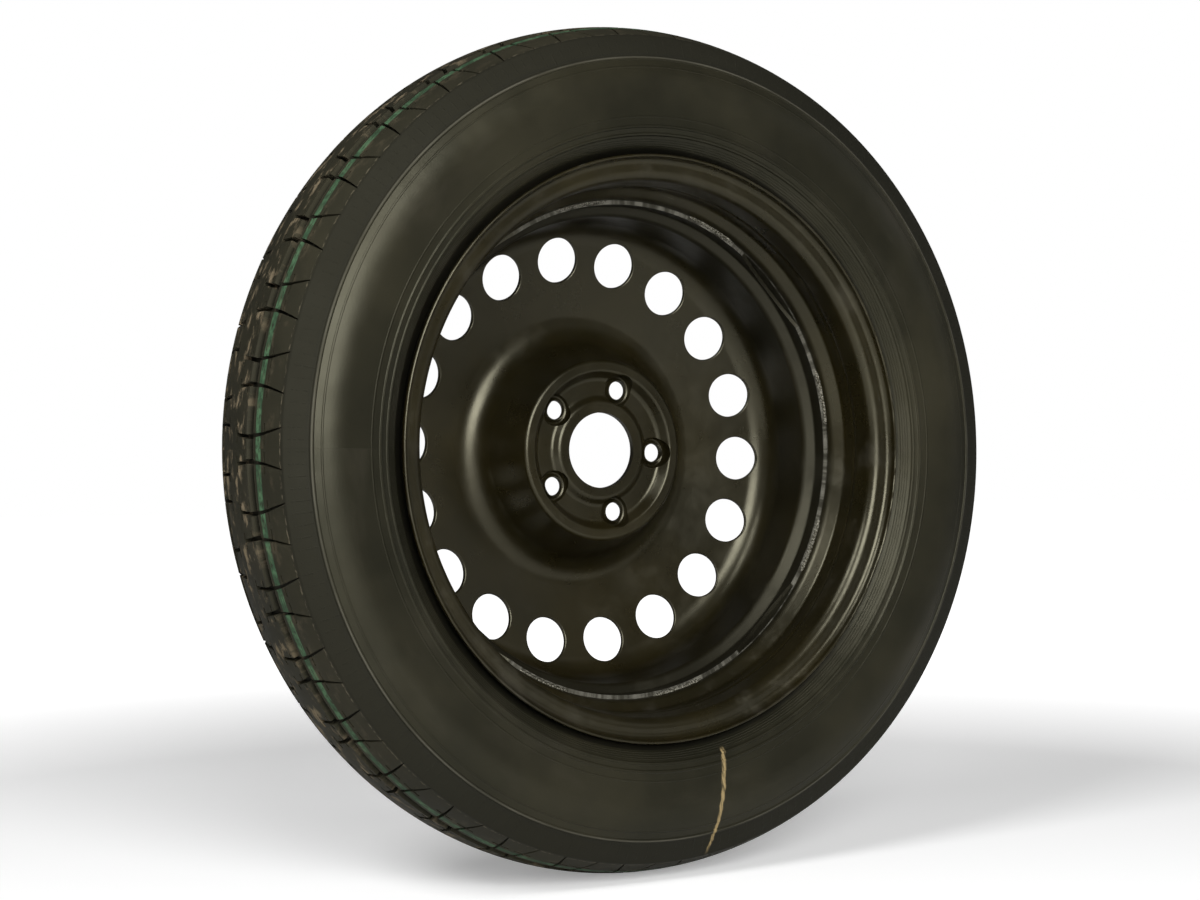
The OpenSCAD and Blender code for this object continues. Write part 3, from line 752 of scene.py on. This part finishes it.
def rubber_material():
    k = node_tools("tyre_rubber")
    big = k.noise(k.coords, 6.0, 4.0, 0.6)
    fine = k.noise(k.coords, 900.0, 2.0, 0.6)
    smear = k.noise(k.combine(k.times(k.angle, 2.2), k.times(k.radius, 26.0),
                              k.times(k.s, 20.0)), 1.0, 5.0, 0.62)
    colour = k.mix(k.ramp(big, 0.35, 0.7, 0.0, 0.65), RUBBER_DARK, RUBBER_BROWN)
    colour = k.mix(k.ramp(smear, 0.5, 0.75, 0.0, 0.45), colour, RUBBER_FILM)
    # painted line round the tread, on the blocks only
    top = k.calc("SQRT", k.calc("SUBTRACT", (CROWN_R / 1000) ** 2, k.times(k.s, k.s)))
    above = k.calc("SUBTRACT", k.radius, k.plus(top, CROWN_C / 1000))
    on_block = k.ramp(above, -0.0016, -0.0006, 0.0, 1.0)
    line = k.times(band(k, k.s, STRIPE_S, STRIPE_HALF, 0.0007), on_block)
    patchy = k.noise(k.combine(k.times(k.angle, 60.0), k.times(k.s, 900.0), 0.0), 1.0, 3.0, 0.6)
    line = k.times(line, k.ramp(patchy, 0.36, 0.52, 0.15, 1.0))
    tint = k.noise(k.coords, 120.0, 2.0)
    colour = k.mix(line, colour, k.mix(k.ramp(tint, 0.4, 0.65), STRIPE_LOW, STRIPE_HIGH))
    thin_line = k.times(band(k, k.s, THIN_LINE_S, 0.0004, 0.0004), on_block)
    thin_line = k.times(thin_line, k.ramp(patchy, 0.5, 0.6, 0.0, 0.7))
    colour = k.mix(thin_line, colour, LINE_PALE)
    # painted shade and damp dirt darken the grooves, and a painted highlight runs along the ring groove's outer edge
    groove_shade_and_dirt = k.times(k.ramp(above, -0.0046, -0.0018, 1.0, 0.0), band(k, k.s, 0.0, 0.056, 0.001))
    colour = k.mix(k.times(groove_shade_and_dirt, 0.75), colour, GROOVE_DIRT_AND_SHADE)
    # painted highlight on the rounded outer edge of the ring groove
    edge = k.times(band(k, k.s, PALE_EDGE_S, 0.00025, 0.0003), k.ramp(above, -0.0032, -0.0022))
    colour = k.mix(k.times(edge, k.ramp(patchy, 0.40, 0.56, 0.1, 0.6)), colour, EDGE_HIGHLIGHT)
    # painted highlight on the crest of the moulded ring, broken up by noise, with a painted shade line outside it
    highlight_breaks = k.ramp(k.noise(k.combine(k.times(k.angle, 4.0), 0.0, 5.0), 1.0, 2.0), 0.35, 0.6, 0.3, 1.0)
    side = k.ramp(k.s, 0.040, 0.045)
    crest_highlight = k.times(k.times(band(k, k.radius, CREST_R, 0.0003, 0.0005), side), highlight_breaks)
    colour = k.mix(k.times(crest_highlight, 0.8), colour, CREST_HIGHLIGHT)
    # painted shade over the apron between the tread's edge and the moulded ring
    apron_shade = k.times(band(k, k.radius, APRON_R, 0.0085, 0.0025), side)
    colour = k.mix(k.times(apron_shade, 0.8), colour, RUBBER_SHADE)
    # painted shade line just outside the moulded ring's crest
    under = k.times(band(k, k.radius, DARK_RING_R, 0.0005, 0.0007), side)
    colour = k.mix(k.times(under, 0.7), colour, RING_SHADE)
    # dried mud on the ribs
    mud = k.noise(k.combine(k.times(k.angle, 18.0), k.times(k.s, 110.0), 3.0), 1.0, 6.0, 0.65)
    tread_zone = k.ramp(k.radius, 0.3300, 0.3385, 0.0, 1.0)
    mud = k.times(k.ramp(mud, 0.52, 0.66, 0.0, 1.0), tread_zone)
    mud = k.times(mud, k.ramp(k.s, 0.028, 0.012, 0.15, 1.0))
    colour = k.mix(k.times(mud, 0.75), colour, MUD)
    # run of dried clay down the sidewall
    run = k.plus(RUN_ANGLE, k.times(k.calc("SUBTRACT", k.radius, RUN_R), RUN_LEAN))
    wobble = k.noise(k.combine(0.0, 0.0, k.times(k.radius, 60.0)), 1.0, 3.0)
    run = k.plus(run, k.times(k.calc("SUBTRACT", wobble, 0.5), 0.022))
    off = k.calc("ABSOLUTE", k.calc("SUBTRACT", k.angle, run))
    width = k.ramp(k.radius, RUN_R, 0.33, 0.0105, 0.006)
    streak = k.ramp(k.calc("DIVIDE", off, width), 0.35, 1.0, 1.0, 0.0)
    span = k.times(k.ramp(k.radius, 0.2455, 0.2490), k.ramp(k.radius, 0.318, 0.331, 1.0, 0.0))
    broken = k.noise(k.combine(k.times(k.angle, 240.0), 0.0, k.times(k.radius, 70.0)), 1.0, 4.0, 0.65)
    inboard = k.ramp(k.s, 0.045, 0.055)
    streak = k.times(k.times(streak, span), k.times(inboard, k.ramp(broken, 0.38, 0.52, 0.12, 0.95)))
    colour = k.mix(streak, colour, CLAY)
    k.put(k.bsdf.inputs["Base Color"], colour)
    rough = k.plus(k.ramp(big, 0.3, 0.7, 0.30, 0.42), k.times(streak, 0.3))
    rough = k.plus(rough, k.times(k.ramp(k.radius, 0.3085, 0.3120), 0.36))
    rough = k.plus(rough, k.times(mud, 0.25), clamp=True)
    k.put(k.bsdf.inputs["Roughness"], rough)
    k.bsdf.inputs["Specular IOR Level"].default_value = 0.27
    k.bsdf.inputs["Specular Tint"].default_value = (1.0, 0.97, 0.72, 1)
    # thin moulded ribs round the shoulder, rings and radial marks on the sidewall
    spokes = k.calc("SINE", k.times(k.angle, PITCHES * 6.0))
    spokes = k.times(k.ramp(spokes, 0.86, 0.99), band(k, k.radius, 0.3195, 0.0062, 0.0012))
    spokes = k.times(spokes, k.ramp(patchy, 0.42, 0.60))
    rings = k.calc("SINE", k.times(k.radius, 2 * math.pi / 0.0016))
    rings = k.times(k.ramp(rings, 0.2, 0.9), band(k, k.radius, 0.2448, 0.0028, 0.0006))
    ring1, ring2 = (band(k, k.radius, r, 0.0004, 0.0005) for r in SIDE_RINGS)
    height = k.plus(k.times(fine, 0.00006), k.times(spokes, 0.00016))
    height = k.plus(height, k.times(rings, 0.00025))
    height = k.plus(height, k.times(k.plus(ring1, ring2), 0.00030))
    waves = k.noise(k.combine(k.times(k.angle, 5.0), k.times(k.radius, 12.0), k.s), 1.0, 2.0)
    height = k.plus(height, k.times(waves, 0.0016))
    k.put(k.bsdf.inputs["Normal"], k.bump(height))
    return k.mat


EDGE_LINE_S, EDGE_LINE_R = 0.0021, 0.2038
PAINT_DARK, PAINT_BROWN = (0.0060, 0.0048, 0.0016, 1), (0.0115, 0.0088, 0.0026, 1)
PAINT_DEEP_SHADE = (0.0025, 0.0022, 0.0012, 1)
DUST, SCRATCH = (0.055, 0.050, 0.040, 1), (0.16, 0.155, 0.14, 1)
WORN_EDGE, WELD_PALE = (0.13, 0.125, 0.105, 1), (0.20, 0.19, 0.16, 1)


def paint_material(name, rough_weld=False):
    k = node_tools(name)
    big = k.noise(k.coords, 9.0, 4.0, 0.6)
    cloud = k.noise(k.coords, 26.0, 5.0, 0.65)
    peel = k.noise(k.coords, 420.0, 2.0, 0.5)
    colour = k.mix(k.ramp(big, 0.35, 0.7), PAINT_DARK, PAINT_BROWN)
    # dust that settles on the barrel and in the corners
    dust = k.times(k.ramp(cloud, 0.50, 0.74), k.ramp(k.radius, 0.185, 0.200, 0.25, 1.0))
    colour = k.mix(k.times(dust, 0.20), colour, DUST)
    # painted shade deep in the barrel, beyond the disc's skirt edge
    deep = k.times(k.ramp(k.radius, 0.190, 0.197), k.ramp(k.s, 0.012, 0.0))
    colour = k.mix(k.times(deep, 0.8), colour, PAINT_DEEP_SHADE)
    # thin scratches round the barrel
    lines = k.noise(k.combine(k.times(k.angle, 3.0), k.times(k.s, 420.0),
                              k.times(k.radius, 300.0)), 1.0, 4.0, 0.7)
    patches = k.noise(k.combine(k.times(k.angle, 3.5), k.times(k.s, 18.0), 1.7), 1.0, 2.0)
    marks = k.times(k.ramp(lines, 0.66, 0.70), k.ramp(patches, 0.56, 0.64))
    marks = k.times(marks, k.ramp(k.radius, 0.194, 0.199))
    colour = k.mix(k.times(marks, 0.8), colour, SCRATCH)
    disc_edge = k.times(band(k, k.s, EDGE_LINE_S, 0.0007, 0.0004),
                        band(k, k.radius, EDGE_LINE_R, 0.0024, 0.0004))
    worn = k.noise(k.combine(k.times(k.angle, 14.0), 0.0, 9.0), 1.0, 4.0, 0.7)
    worn = k.times(disc_edge, k.ramp(worn, 0.44, 0.58, 0.15, 0.9))
    colour = k.mix(worn, colour, WORN_EDGE)
    if rough_weld:
        spots = k.noise(k.coords, 700.0, 3.0, 0.7)
        colour = k.mix(k.ramp(spots, 0.44, 0.60, 0.0, 0.85), colour, WELD_PALE)
    k.put(k.bsdf.inputs["Base Color"], colour)
    rough = k.plus(k.ramp(cloud, 0.35, 0.7, 0.27, 0.35), k.times(marks, 0.3), clamp=True)
    rough = k.plus(rough, k.times(dust, 0.16))
    rough = k.plus(rough, k.times(deep, 0.18), clamp=True)
    k.put(k.bsdf.inputs["Roughness"], rough)
    k.bsdf.inputs["Specular IOR Level"].default_value = 0.46
    k.bsdf.inputs["Specular Tint"].default_value = (1.0, 0.95, 0.70, 1)
    height = k.times(peel, 0.000035)
    slow = k.noise(k.coords, 30.0, 2.0, 0.5)
    height = k.plus(height, k.times(slow, 0.00035))
    if rough_weld:
        height = k.plus(height, k.times(k.noise(k.coords, 900.0, 3.0, 0.7), 0.00045))
    k.put(k.bsdf.inputs["Normal"], k.bump(height))
    return k.mat


def plain_material(name, lo, hi, rough, metal=0.0, grain=600.0, height=0.00003):
    k = node_tools(name)
    n = k.noise(k.coords, grain, 3.0, 0.6)
    k.put(k.bsdf.inputs["Base Color"], k.mix(k.ramp(n, 0.35, 0.65), (*lo, 1), (*hi, 1)))
    k.put(k.bsdf.inputs["Roughness"], k.ramp(n, 0.3, 0.7, rough - 0.06, rough + 0.06))
    k.bsdf.inputs["Metallic"].default_value = metal
    k.put(k.bsdf.inputs["Normal"], k.bump(k.times(n, height)))
    return k.mat


rubber = rubber_material()
paint = paint_material("black_paint")
weld_paint = paint_material("weld_paint", True)
valve_rubber = plain_material("valve_rubber", (0.012, 0.012, 0.011), (0.022, 0.021, 0.019), 0.6)
brass = plain_material("brass", (0.42, 0.27, 0.09), (0.56, 0.38, 0.14), 0.32, 1.0)
seal = plain_material("seal", (0.45, 0.42, 0.36), (0.55, 0.52, 0.46), 0.5)
steel = plain_material("spring_steel", (0.45, 0.45, 0.45), (0.55, 0.55, 0.55), 0.3, 1.0)
cap_plastic = plain_material("cap_plastic", (0.010, 0.010, 0.011), (0.018, 0.018, 0.019), 0.45)


def dress(obj, mat, slot, *stands_for, body="wheel"):
    obj.data.materials.clear()
    obj.data.materials.append(mat)
    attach(obj, body)
    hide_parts(*stands_for)


dress(tyre, rubber, "tyre_rubber", "tyre")
dress(rim, paint, "black_paint", "rim")
dress(disc, paint, "black_paint", "disc")
dress(beads, weld_paint, "weld_paint", "weld_beads")
dress(cap, cap_plastic, "cap_plastic", "cap", body="cap")
plain_nodes = {
    "valve_body": valve_rubber, "valve_stem": brass, "core_body": brass, "core_seal": seal,
    "core_pin": brass, "core_cup_seal": seal, "core_spring": steel, "cap_seal": valve_rubber,
}
for name, mat in plain_nodes.items():
    for s in nodes[name].material_slots:
        s.material = mat

# Floor, backdrop, light and camera

FLOOR_Z, FLOOR_SIZE, FLOOR_GLOW = -TYRE_R / 1000 - 0.0004, 14.0, 0.28
GLOW_NEAR, GLOW_FAR = 0.9, 1.9
FLOOR_COLOUR, WORLD_LIGHT = (0.88, 0.88, 0.88, 1), 0.09


def seen(tree):
    """1 for camera and transmission rays, so that a background shows white without lighting the object."""
    path = tree.nodes.new("ShaderNodeLightPath")
    either = tree.nodes.new("ShaderNodeMath")
    either.operation = "MAXIMUM"
    tree.links.new(path.outputs["Is Camera Ray"], either.inputs[0])
    tree.links.new(path.outputs["Is Transmission Ray"], either.inputs[1])
    return either.outputs[0]


def floor_material():
    """Takes the shadow, and glows more with distance until it is plain white."""
    mat = bpy.data.materials.new("floor")
    mat.use_nodes = True
    tree = mat.node_tree
    tree.nodes.clear()
    kinds = ("OutputMaterial", "AddShader", "BsdfDiffuse", "Emission",
             "TexCoord", "VectorMath", "MapRange", "Math")
    made = [tree.nodes.new("ShaderNode" + kind) for kind in kinds]
    out, both, diffuse, glow, where, length, far, scale = made
    diffuse.inputs["Color"].default_value = FLOOR_COLOUR
    length.operation, scale.operation = "LENGTH", "MULTIPLY"
    limits = {"From Min": GLOW_NEAR, "From Max": GLOW_FAR, "To Min": FLOOR_GLOW, "To Max": 1.0}
    for slot, value in limits.items():
        far.inputs[slot].default_value = value
    link = tree.links.new
    link(where.outputs["Object"], length.inputs[0])
    link(length.outputs["Value"], far.inputs["Value"])
    link(seen(tree), scale.inputs[0])
    link(far.outputs["Result"], scale.inputs[1])
    link(scale.outputs[0], glow.inputs["Strength"])
    link(diffuse.outputs[0], both.inputs[0])
    link(glow.outputs[0], both.inputs[1])
    link(both.outputs[0], out.inputs[0])
    return mat


def set_world():
    world = bpy.data.worlds.new("world")
    bpy.context.scene.world = world
    world.use_nodes = True
    tree = world.node_tree
    tree.nodes.clear()
    out, pick, back, light = (tree.nodes.new("ShaderNode" + kind) for kind in (
        "OutputWorld", "MixShader", "Background", "Background"))
    for node, strength in ((back, 1.0), (light, WORLD_LIGHT)):
        node.inputs["Color"].default_value = (1, 1, 1, 1)
        node.inputs["Strength"].default_value = strength
    tree.links.new(seen(tree), pick.inputs[0])
    tree.links.new(light.outputs[0], pick.inputs[1])
    tree.links.new(back.outputs[0], pick.inputs[2])
    tree.links.new(pick.outputs[0], out.inputs[0])


corners = [(x * FLOOR_SIZE, y * FLOOR_SIZE, FLOOR_Z) for x, y in ((-1, -1), (1, -1), (1, 1), (-1, 1))]
floor = mesh_object("floor", corners, [(0, 1, 2, 3)], fix=False)
floor.data.materials.append(floor_material())
set_world()


def lamp(name, where, aim, size_x, size_y, power):
    data = bpy.data.lights.new(name, "AREA")
    data.shape = "RECTANGLE"
    data.size, data.size_y, data.energy = size_x, size_y, power
    obj = bpy.data.objects.new(name, data)
    bpy.context.scene.collection.objects.link(obj)
    obj.location = where
    obj.rotation_euler = (Vector(aim) - Vector(where)).to_track_quat("-Z", "Y").to_euler()
    return obj


CENTRE = (0, 0, 0)
lamp("key", (-2.3, -0.9, 2.1), CENTRE, 1.2, 1.2, 58)
lamp("front", (-0.75, -2.6, 0.85), CENTRE, 1.5, 1.5, 90)
lamp("fill", (2.6, -2.0, 0.9), CENTRE, 2.0, 2.0, 6)

# Place, view and lens found by laying the rim's and the hub's edges over the photograph
CAMERA_AT, LENS_MM, SENSOR_MM = (-0.8991, -1.4071, -0.0176), 60.765, 36.0
RIGHT, FORWARD = Vector((0.8501, -0.5265, -0.0064)), Vector((0.5265, 0.8501, 0.0104))

cam_data = bpy.data.cameras.new("camera")
cam = bpy.data.objects.new("camera", cam_data)
bpy.context.scene.collection.objects.link(cam)
cam_data.sensor_fit = "HORIZONTAL"
cam_data.sensor_width = SENSOR_MM
cam_data.lens = LENS_MM
right, forward = RIGHT.normalized(), FORWARD.normalized()
up = right.cross(forward).normalized()
rot = Matrix((right, up, -forward)).transposed().to_4x4()
cam.matrix_world = Matrix.Translation(CAMERA_AT) @ rot
bpy.context.scene.camera = cam
bpy.context.scene.view_settings.view_transform = "Standard"
